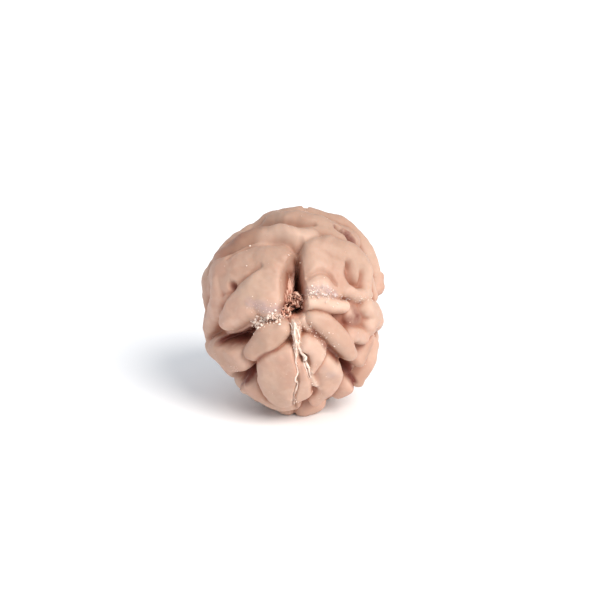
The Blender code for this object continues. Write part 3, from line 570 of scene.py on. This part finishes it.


# Fruit stone: hard woody shell, dried, brushed clean and barely oiled. Dull, paler on the crowns and
# the brightest lobes as painted highlight, browner on top and redder and darker low down as painted shade.
def fruitStone(look):
    material, tree, shader = newMaterial("driedFruitStone")
    place = node(tree, "TexCoord", output="Object")
    follows = {"height": node(tree, "SeparateXYZ", {}, {0: place}, "Z")}
    for name, size, detail in look["noises"]:
        scale = {"Vector": place, "Scale": 1 / (size * mm), "Detail": detail}
        follows[name] = node(tree, "TexNoise", {}, scale, "Fac")
    cells = node(tree, "TexVoronoi", {}, {"Vector": place, "Scale": 1 / (look["flakeSize"] * mm)}, "Distance")
    between, middle = look["flakes"]
    follows["flakes"] = node(tree, "MapRange", {}, {"Value": cells, "From Min": between, "From Max": middle})
    for name in ("hollow", "crease", "crown", *faceMarks):
        follows[name] = node(tree, "Attribute", {"attribute_name": name}, output="Fac")
    for name, spots in look["spotted"]:
        follows[name] = node(tree, "Math", {"operation": "MULTIPLY"}, {0: follows[name], 1: follows[spots]})
    colour = linear(look["tan"])
    for name, low, high, share, layerColour in look["layers"]:
        limits = {"Value": follows[name], "From Min": low, "From Max": high, "To Max": share}
        # a mix takes its share as input 0 and its colours as 6 and 7
        colours = {0: node(tree, "MapRange", {}, limits), 6: colour, 7: linear(layerColour)}
        colour = node(tree, "Mix", {"data_type": "RGBA"}, colours, 2)
    tree.links.new(colour, shader.inputs["Base Color"])
    low, high, smooth, rough = look["roughness"]
    limits = {"Value": follows["mottle"], "From Min": low, "From Max": high}
    limits.update({"To Min": smooth, "To Max": rough})
    tree.links.new(node(tree, "MapRange", {}, limits), shader.inputs["Roughness"])
    bumps = {}
    for name, strength, height in look["bumps"]:
        bumps.update({"Height": follows[name], "Strength": strength, "Distance": height * mm})
        bumps["Normal"] = node(tree, "Bump", {}, bumps)
    tree.links.new(bumps["Normal"], shader.inputs["Normal"])
    shader.inputs["IOR"].default_value = look["ior"]
    shader.inputs["Subsurface Weight"].default_value = look["softness"]
    shader.inputs["Subsurface Radius"].default_value = look["softReach"]
    shader.inputs["Subsurface Scale"].default_value = mm
    return material


plain = {
    "detail": 2,
    "range": (0.35, 0.65),  # of the noise, over which the first colour gives way to the second
}


# A dull material whose colour wanders between two, following a noise of the size in millimetres
def plainMaterial(name, size, first, second, roughness):
    material, tree, shader = newMaterial(name)
    place = node(tree, "TexCoord", output="Object")
    scale = {"Vector": place, "Scale": 1 / (size * mm), "Detail": plain["detail"]}
    tone = node(tree, "TexNoise", {}, scale, "Fac")
    low, high = plain["range"]
    share = node(tree, "MapRange", {}, {"Value": tone, "From Min": low, "From Max": high})
    colours = {0: share, 6: linear(first), 7: linear(second)}
    tree.links.new(node(tree, "Mix", {"data_type": "RGBA"}, colours, 2), shader.inputs["Base Color"])
    shader.inputs["Roughness"].default_value = roughness
    return material


fruitStoneMaterial = fruitStone(stoneLook)
# dry flesh of the fruit left in the seams: chalky, with no shine
driedPulp = plainMaterial("driedPulp", 0.4, "f6e9dc", "dcbcaa", 0.75)
# coarse fibre of the husk that fills the mouth: woody strands, red brown to straw
huskFibre = plainMaterial("huskFibre", 0.5, "c68c77", "ecc8b2", 0.7)
print("materials made")

skin = {
    "around": 400,  # points in a row
    "along": 226,  # rows over the outside
    "inside": 12,  # rows on the wall of the hole
    "rimAngles": (0.01, 0.5),  # radians from the hole's axis between which its rims lie
    "rimHalvings": 22,
    "rimWidth": 0.05,  # radians from the hole's rims over which the ripples fade out
    "denser": 0.8,  # how much closer the rows lie round the mouth than at the far end
    "rippleHeight": 0.02,
    "rippleLength": 1.1,
    "rippleWaves": 24,
    "scalyHeight": 0.05,
    "scalyLength": 0.35,
    "scalyWaves": 30,
    "mostHollow": 2,  # reliefs below the tops
    "mouthFrom": (0.3, 0.5),  # how hollow the mouth's colour starts, and over how much more it fills
    "normalStep": 0.004,  # radians from a point to those that its normal is taken from
    "normalHint": (0.3, 1, 0.2),
    "markSpread": 1.3,  # a mark fades out at this share of its half width
    "evened": 50,  # how many times the height is evened out with its neighbours for the creases
    "creaseDepth": 0.25,  # a crease takes its full painted shade from this far below the evened height
}


# Two axes across the hole and the one along it to the mouth, each one long
def unitAxes():
    way = unit(np.array(stone["holeWay"]))
    side = unit(np.cross((0, 1, 0), way))
    return side, np.cross(way, side), way


# Directions at a turn round the hole's axis and an angle from it: a circle from the axis
# towards the place on the circle across it
def directionsAt(polar, turn):
    side, up, way = unitAxes()
    return onCircle(polar, way, onCircle(turn, side, up))


# The angle from the axis at which the surface meets the hole, from one end: where the radius
# times the angle's sine is the hole's radius, found by halving
def rimAngle(turn, far):
    low, high = (np.full(len(turn), angle) for angle in skin["rimAngles"])
    for _ in range(skin["rimHalvings"]):
        middle = (low + high) / 2
        directions = directionsAt(math.pi - middle if far else middle, turn)
        radius = outerRadius(directions) - stone["relief"] + stoneHeight(directions)
        inside = radius * np.sin(middle) < stone["holeRadius"]
        low, high = np.where(inside, middle, low), np.where(inside, high, middle)
    return high


# How much of each mark lies on the points: a bell over the nearness to its lines
def markOn(points, name):
    total = np.zeros(len(points))
    for strength, below, line in faceMarks[name]:
        near = nearness(points, *crestLine(line, below))
        total = np.maximum(total, strength * bell(near / skin["markSpread"]))
    return total


# How far a height on the grid lies below its own mean over a millimetre or so round it, the
# mean being taken by evening it out with its four neighbours again and again
def belowItsMean(height):
    even = height
    for _ in range(skin["evened"]):
        rows = np.concatenate([even[:1], even, even[-1:]])
        even = (rows[:-2] + rows[2:] + np.roll(even, 1, axis=1) + np.roll(even, -1, axis=1)) / 4
    return (even - height) / skin["creaseDepth"]


# The stone's skin: a surface of the turn round the hole and the way along it. It runs from the
# mouth's rim over the outside to the far rim, as the round less the relief plus the height of
# the lobes, and back through the hole as a tube.
def stoneSkin():
    turn = np.arange(skin["around"]) * 2 * math.pi / skin["around"]
    nearRim, farRim = rimAngle(turn, False), math.pi - rimAngle(turn, True)
    step = np.linspace(0, 1, skin["along"])[:, None]
    share = np.expm1(skin["denser"] * step) / np.expm1(skin["denser"])
    polar = nearRim + (farRim - nearRim) * share
    directions = directionsAt(polar, np.broadcast_to(turn, polar.shape)).reshape(-1, 3)
    height = stoneHeight(directions)
    points = strayed(directions)
    marks = {name: markOn(points, name) for name in faceMarks}
    # how low the skin lies between the lobes, which the stone's colour turns into painted shade
    marks["hollow"] = np.clip(1 - height / stone["relief"], 0, skin["mostHollow"])
    # crease is painted shade where the skin lies below its mean, crown painted highlight where it lies above
    below = belowItsMean(height.reshape(polar.shape)).ravel()
    marks["crease"], marks["crown"] = np.clip(below, 0, 1), np.clip(-below, 0, 1)
    low, further = skin["mouthFrom"]
    marks["mouth"] = marks["mouth"] * np.clip((marks["hollow"] - low) / further, 0, 1)
    ripples = waves(points, skin["rippleLength"], stone["seed"] + 4, skin["rippleWaves"])
    flakes = waves(points, skin["scalyLength"], stone["seed"] + 5, skin["scalyWaves"])
    fine = skin["rippleHeight"] * ripples
    fine += skin["scalyHeight"] * marks["scaly"] * flakes
    rim = np.clip(np.minimum(polar - nearRim, farRim - polar).ravel() / skin["rimWidth"], 0, 1)
    radius = outerRadius(directions) - stone["relief"] + height + fine * rim
    outside = (directions * radius[:, None]).reshape(skin["along"], skin["around"], 3)
    side, up, way = unitAxes()
    ends = outside[[-1, 0]] @ way
    down = np.linspace(0, 1, skin["inside"] + 2)[1:-1, None]
    depth = ends[0] + (ends[1] - ends[0]) * down
    inside = depth[..., None] * way + stone["holeRadius"] * onCircle(turn, side, up)
    # the hole's wall takes the full painted shade of the hollows and the mouth's colour
    for name in marks:
        inHole = float(name in ("hollow", "mouth"))
        marks[name] = np.append(marks[name], np.full(depth.size, inHole))
    return np.concatenate([outside, inside]), marks


grid, marks = stoneSkin()
worldPoints = grid.reshape(-1, 3) @ faceTurn().T
middle = -0.5 * (worldPoints.min(axis=0) + worldPoints.max(axis=0))
middle[2] = stone["standHeight"]


# Points of the face plane's frame brought to where the stone stands
def placed(points):
    return points @ faceTurn().T + middle


worldPoints = worldPoints + middle
worldPoints[:, 2] = np.maximum(worldPoints[:, 2], 0)  # its feet are worn flat
quads = gridFaces(*grid.shape[:2], closeRows=True)
stonePiece = meshPiece("stone_skin", worldPoints, quads, fruitStoneMaterial, marks)
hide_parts("bead")


# Points of the surface in these directions, and the normals there: the cross product of two
# short steps aside
def surfaceAt(directions):
    step = skin["normalStep"]
    side = unit(np.cross(directions, skin["normalHint"]))
    up = np.cross(directions, side)
    steps = np.concatenate([directions, unit(directions + step * side), unit(directions + step * up)])
    radius = outerRadius(steps) - stone["relief"] + stoneHeight(steps)
    points, aside, above = np.split(steps * radius[:, None], 3)
    return points, unit(np.cross(aside - points, above - points))


# Directions from the middle to what is seen at x, y on the face
def directionsOn(x, y, below=stone["lobeLoss"]):
    return unit(onFace(np.asarray(x, float), np.asarray(y, float), below))


# A ball of 24 quads: the surface of a cube cut in two each way, pushed out to a sphere
def ballMesh():
    corners, quads = [], []
    grid = np.array([(u, v) for u in (-1, 0, 1) for v in (-1, 0, 1)], float)
    cells = np.array([(0, 3, 4, 1)]) + np.array([0, 1, 3, 4])[:, None]
    for axis in range(3):
        for end in (-1, 1):
            face = np.insert(grid, 0, end, axis=1)
            quads.append((cells if end > 0 else cells[:, ::-1]) + len(grid) * len(corners))
            corners.append(np.roll(face, axis, axis=1))
    points, index = np.unique(np.vstack(corners), axis=0, return_inverse=True)
    return unit(points), index.ravel()[np.vstack(quads)]


lump = {
    "stretch": (0.6, 1.3),
    "dents": (0.75, 1.2),
    "rise": 0.35,  # its middle lies this share of its size over the surface
}


# Crumbs: the ball stretched along three axes of its own, each of its points pushed in or out at
# random, turned at random and sunk a third into the surface
def crumbs(points, normals, sizes, draw):
    ball, quads = ballMesh()
    count = len(points)
    turns, _ = np.linalg.qr(draw.normal(size=(count, 3, 3)))
    turns *= np.sign(np.linalg.det(turns))[:, None, None]
    stretch = draw.uniform(*lump["stretch"], (count, 1, 3)) * sizes[:, None, None]
    lumps = ball[None] * draw.uniform(*lump["dents"], (count, len(ball), 1)) * stretch
    middles = points + lump["rise"] * sizes[:, None] * normals
    lumps = np.einsum("nij,npj->npi", turns, lumps) + middles[:, None]
    shift = np.arange(count)[:, None, None] * len(ball)
    return lumps.reshape(-1, 3), (quads[None] + shift).reshape(-1, 4)


# Strands: a six-sided ring carried along each path (strand, step, place), its radius given at
# each step, and both ends closed with two quads
def strands(paths, radii, hint):
    sides = 6
    count, steps = radii.shape
    run = unit(np.gradient(paths, axis=1))
    side = unit(np.cross(run, hint))
    up = np.cross(side, run)
    turn = np.arange(sides) * 2 * math.pi / sides
    ring = onCircle(turn, side[:, :, None], up[:, :, None])
    points = paths[:, :, None] + radii[..., None, None] * ring
    caps = np.array([(0, 1, 2, 3), (0, 3, 4, 5)])
    quads = np.concatenate([gridFaces(steps, sides), caps[:, ::-1], caps + sides * (steps - 1)])
    shift = np.arange(count)[:, None, None] * sides * steps
    return points.reshape(-1, 3), (quads[None] + shift).reshape(-1, 4)


# Meshes made one: each one's quads count on from the points before it
def joined(*meshes):
    shifts = np.cumsum([0] + [len(points) for points, _ in meshes[:-1]])
    return (np.vstack([points for points, _ in meshes]),
            np.vstack([quads + shift for (_, quads), shift in zip(meshes, shifts)]))


fibre = {
    "seed": 21,
    "steps": 14,
    # curls in the mouth: how many, the x, y and spread of the heap, and its depths from the middle
    "heaps": ((34, 0.35, 0.9, 0.42, 5.8, 7), (14, -0.75, -0.15, 0.2, 6.5, 7)),
    "heapReach": 2,  # no curl lies further out than this many spreads
    "curlAxis": (1, 1, 0.5),  # its axis lies flat on the face more often than not
    "curlRadius": (0.2, 0.6),
    "curlCloses": 0.35,  # share of that radius that it loses on its way
    "curlTurn": (1.8, 5.0),  # radians
    "curlThickness": (0.07, 0.15),
    "taper": 0.25,  # radians cut from both ends of the half sine that the thickness follows
    "streaks": 90,
    "streakAcross": (-1.0, 0.2),
    "streakTop": (0.6, 3.9),
    "streakLength": (0.7, 1.9),
    "slitNarrows": (0.25, 0.5, 3),  # by this share, from this height up the face, over this much
    "streakSway": 0.06,
    "streakTurn": (3, 9),  # radians of the wave along it
    "streakBelow": 1.6,  # how far below the lobes' tops it is seen
    "streakLift": (0.03, 0.05),  # off the wall, and the most that its middle has besides
    "streakThickness": (0.03, 0.06),
    "plugDepth": (0.5, 4.6),
    "plugReach": 0.5,  # from the hole's axis
    "plugLumps": 60,
    "plugSize": (0.2, 0.3),
}


# The husk left in the mouth: curls, each an arc of a circle at a random place and tilt, streaks
# that run down the walls of the slit, and lumps that fill the hole behind them
def mouthFibres():
    draw = np.random.default_rng(fibre["seed"])
    side, up, way = unitAxes()
    steps, reach = fibre["steps"], fibre["heapReach"]
    middle = []
    for count, x, y, spread, deepest, highest in fibre["heaps"]:
        aside = draw.normal(size=(count, 2)).clip(-reach, reach) * spread
        depth = draw.uniform(deepest, highest, count)
        middle.append(np.column_stack([x + aside[:, 0], y + aside[:, 1], depth]))
    middle = np.vstack(middle)
    count = len(middle)
    tilt = unit(draw.normal(size=(count, 3)) * fibre["curlAxis"])
    first = unit(np.cross(tilt, draw.normal(size=(count, 3))))
    second = np.cross(tilt, first)
    sweep = np.linspace(0, 1, steps) * draw.uniform(*fibre["curlTurn"], (count, 1))
    closing = 1 - fibre["curlCloses"] * np.linspace(0, 1, steps)
    radius = draw.uniform(*fibre["curlRadius"], (count, 1)) * closing
    curl = middle[:, None] + radius[..., None] * onCircle(sweep, first[:, None], second[:, None])
    taper = np.sin(np.linspace(fibre["taper"], math.pi - fibre["taper"], steps))
    curls = strands(curl, draw.uniform(*fibre["curlThickness"], (count, 1)) * taper, tilt[:, None])

    count = fibre["streaks"]
    across = draw.uniform(*fibre["streakAcross"], (count, 1))
    top = draw.uniform(*fibre["streakTop"], (count, 1))
    run = draw.uniform(*fibre["streakLength"], (count, 1))
    along = np.linspace(0, 1, steps)
    loss, lowest, rise = fibre["slitNarrows"]
    x = across * (1 - loss * (top - lowest) / rise)
    x = x + fibre["streakSway"] * np.sin(along * draw.uniform(*fibre["streakTurn"], (count, 1)))
    y = top - run * along
    points, normals = surfaceAt(directionsOn(x.ravel(), y.ravel(), fibre["streakBelow"]))
    least, most = fibre["streakLift"]
    lift = least + most * np.sin(math.pi * along) * draw.uniform(0, 1, (count, 1))
    path = (points + lift.ravel()[:, None] * normals).reshape(count, steps, 3)
    streaks = strands(path, draw.uniform(*fibre["streakThickness"], (count, 1)) * taper,
                      normals.reshape(count, steps, 3))

    count = fibre["plugLumps"]
    turn = draw.uniform(0, 2 * math.pi, count)
    out = fibre["plugReach"] * np.sqrt(draw.uniform(0, 1, count))
    points = draw.uniform(*fibre["plugDepth"], (count, 1)) * way + out[:, None] * onCircle(turn, side, up)
    sizes = draw.uniform(*fibre["plugSize"], count)
    plug = crumbs(points, np.broadcast_to(way, points.shape), sizes, draw)
    return joined(curls, streaks, plug)


points, quads = mouthFibres()
meshPiece("mouth_fibres", placed(points), quads, huskFibre)

thread = {
    "seed": 31,
    "steps": 40,
    # the strands of the seams below the mouth: how far below the lobes' tops each may sink before
    # it bridges what is deeper, then x, y and radius along it
    "strands": (
        (2, ((-0.1, -1, 0.05), (0.05, -1.7, 0.1), (0.15, -2.5, 0.13), (0.3, -3.4, 0.12), (0.3, -4.4, 0.08))),
        (2, ((-0.25, -1.3, 0.04), (-0.12, -2.1, 0.08), (0, -3, 0.09), (0.15, -4, 0.05), (0.25, -4.8, 0.04))),
        (2, ((0.15, -1.3, 0.05), (0.3, -2.1, 0.08), (0.28, -3, 0.09), (0.4, -3.8, 0.06))),
        (0.7, ((0.5, -1.5, 0.04), (0.45, -2.4, 0.08), (0.5, -3.3, 0.08), (0.6, -4, 0.07), (0.85, -4.9, 0.06),
               (1.2, -5.8, 0.05), (1.6, -6.7, 0.04))),
        (0.2, ((0.4, -3.3, 0.08), (0.7, -3.9, 0.13), (1, -4.5, 0.17), (1.2, -5.1, 0.16), (1.45, -5.8, 0.13),
               (1.7, -6.5, 0.1))),
        (0.3, ((0.3, -4.2, 0.06), (0.28, -5.5, 0.06), (0.22, -7, 0.09), (0.15, -8.4, 0.11),
               (0.1, -9.2, 0.06))),
    ),
    "stray": 0.07,  # how far the strands stray from their places, and over what length
    "strayLength": 0.9,
    "lumps": 0.2,  # how much their thickness varies, over what length, and between what limits
    "lumpLength": 0.5,
    "lumpLimits": (0.5, 1.5),
    "endShare": 0.3,  # of the thickness is left at both ends
    "rise": 0.5,  # its middle lies this share of its radius over the surface
    "fluff": 70,
    "fluffSteps": 8,
    "fluffAcross": (-0.2, 0.6),
    "fluffDown": (-4.3, -1.1),
    "fluffLength": (0.2, 0.6),
    "fluffRise": 0.6,  # how much a hair leans to the surface's normal
    "fluffBend": 0.35,  # share of its length that its tip bends aside
    "fluffRadius": (0.015, 0.035),
    "fluffTip": 0.35,  # share of its radius left at its tip
}


# Threads of dry flesh in the seam: smooth curves through the places given, each straying and
# swelling by smooth waves, laid on the surface and held up where it is deeper than they bridge,
# with short bent hairs that stand away from them
def seamThreads():
    draw = np.random.default_rng(thread["seed"])
    meshes = []
    for index, (bridged, rows) in enumerate(thread["strands"]):
        seed = thread["seed"] + 4 * index
        rows = eased(np.array(rows), np.linspace(0, len(rows) - 1, thread["steps"]))
        flat = rows * (1, 1, 0)
        for column in (0, 1):
            rows[:, column] += thread["stray"] * waves(flat, thread["strayLength"], seed + column)
        directions = directionsOn(rows[:, 0], rows[:, 1])
        points, normals = surfaceAt(directions)
        swell = thread["lumps"] * waves(flat, thread["lumpLength"], seed + 2)
        radius = rows[:, 2] * (1 + swell).clip(*thread["lumpLimits"])
        radius[[0, -1]] *= thread["endShare"]
        path = points + thread["rise"] * radius[:, None] * normals
        least = (outerRadius(directions) - bridged) / np.linalg.norm(path, axis=1)
        path *= np.maximum(1, least)[:, None]
        meshes.append(strands(path[None], radius[None], normals[None]))
    count, steps = thread["fluff"], thread["fluffSteps"]
    start = draw.uniform(*thread["fluffAcross"], count), draw.uniform(*thread["fluffDown"], count)
    points, normals = surfaceAt(directionsOn(*start))
    way = unit(draw.normal(size=(count, 3)) + thread["fluffRise"] * normals)
    bend = unit(draw.normal(size=(count, 3)))
    along = np.linspace(0, 1, steps)[None, :, None]
    length = draw.uniform(*thread["fluffLength"], (count, 1, 1))
    aside = thread["fluffBend"] * along**2 * bend[:, None]
    path = points[:, None] + length * (along * way[:, None] + aside)
    radius = draw.uniform(*thread["fluffRadius"], (count, 1)) * np.linspace(1, thread["fluffTip"], steps)
    meshes.append(strands(path, radius, bend[:, None]))
    return joined(*meshes)


points, quads = seamThreads()
meshPiece("seam_threads", placed(points), quads, driedPulp)

crumb = {
    "seed": 41,
    # how many, how far they stray, smallest and largest size, then the line of x and y
    "lines": (
        (260, 0.28, 0.03, 0.2, ((-1.0, -0.5), (-1.9, -0.75), (-3.1, -1.1), (-4.2, -1.6))),
        (80, 0.25, 0.03, 0.12, ((-4.0, -1.4), (-4.5, -2.2), (-5.0, -2.9))),
        (70, 0.45, 0.02, 0.07, ((-4.0, 0.4), (-2.8, 0.1), (-1.6, -0.2))),
        (90, 0.38, 0.02, 0.13, ((1.2, 1.5), (1.9, 1.8), (2.8, 1.7), (3.8, 1.3))),
        (40, 0.15, 0.02, 0.05, ((4.4, 1.2), (6.0, 1.0), (7.6, 0.9))),
        (90, 0.4, 0.02, 0.07, ((0.8, -1.4), (2.2, -2.4), (3.4, -3.6))),
        (50, 0.2, 0.02, 0.06, ((0.2, -1.2), (0.3, -3.0), (0.3, -4.6))),
        (14, 0.1, 0.04, 0.1, ((8.3, -2.2), (8.5, -2.6))),
        (24, 0.18, 0.03, 0.09, ((0.1, -8.2), (0.0, -9.0))),
        (20, 0.2, 0.03, 0.08, ((1.9, -7.2), (2.3, -7.9))),
        (16, 0.2, 0.03, 0.08, ((-5.5, -5.4), (-5.8, -6.1))),
    ),
    "smallness": 3,  # the power of the draw for the size, so that most are small
    # places and sizes of single crumbs
    "single": ((-0.5, 5.2, 0.11), (0.75, 5.2, 0.08), (-4.5, 4.2, 0.1), (-4.4, 6.4, 0.1), (1.7, -1.6, 0.09),
               (3.2, -2.1, 0.09), (3.9, -3.5, 0.08), (-0.2, 6.6, 0.05), (5.9, -1.3, 0.08), (2.9, -4.1, 0.06)),
    "farEach": 90,  # crumbs in each seam behind the face
    "farStray": 0.12,
    "farSize": (0.03, 0.08),
    "dust": 260,
    "dustSize": (0.015, 0.035),
    "clearance": 0.3,  # over the floor, so that none lies under the feet
}


# Dry flesh left on the stone: crumbs scattered along lines on the face, in the seams behind it
# and, as dust, in all directions
def pulpCrumbs():
    draw = np.random.default_rng(crumb["seed"])
    directions, sizes = [], []
    for count, stray, small, large, line in crumb["lines"]:
        rows = eased(np.array(line, float), draw.uniform(0, len(line) - 1, count))
        rows = rows + draw.normal(0, stray, rows.shape)
        directions.append(directionsOn(*rows.T))
        sizes.append(small + (large - small) * draw.uniform(0, 1, count) ** crumb["smallness"])
    x, y, size = np.array(crumb["single"]).T
    directions.append(directionsOn(x, y))
    sizes.append(size)
    for seam in stone["seams"]:
        line, _ = seamLine(*seam)
        rows = eased(line, draw.uniform(0, len(line) - 1, crumb["farEach"]))
        directions.append(unit(rows + draw.normal(0, crumb["farStray"], rows.shape)))
        sizes.append(draw.uniform(*crumb["farSize"], crumb["farEach"]))
    directions.append(unit(draw.normal(size=(crumb["dust"], 3))))
    sizes.append(draw.uniform(*crumb["dustSize"], crumb["dust"]))
    points, normals = surfaceAt(np.vstack(directions))
    sizes = np.concatenate(sizes)
    clear = placed(points)[:, 2] > crumb["clearance"]
    return crumbs(points[clear], normals[clear], sizes[clear], draw)


points, quads = pulpCrumbs()
meshPiece("pulp_crumbs", placed(points), quads, driedPulp)
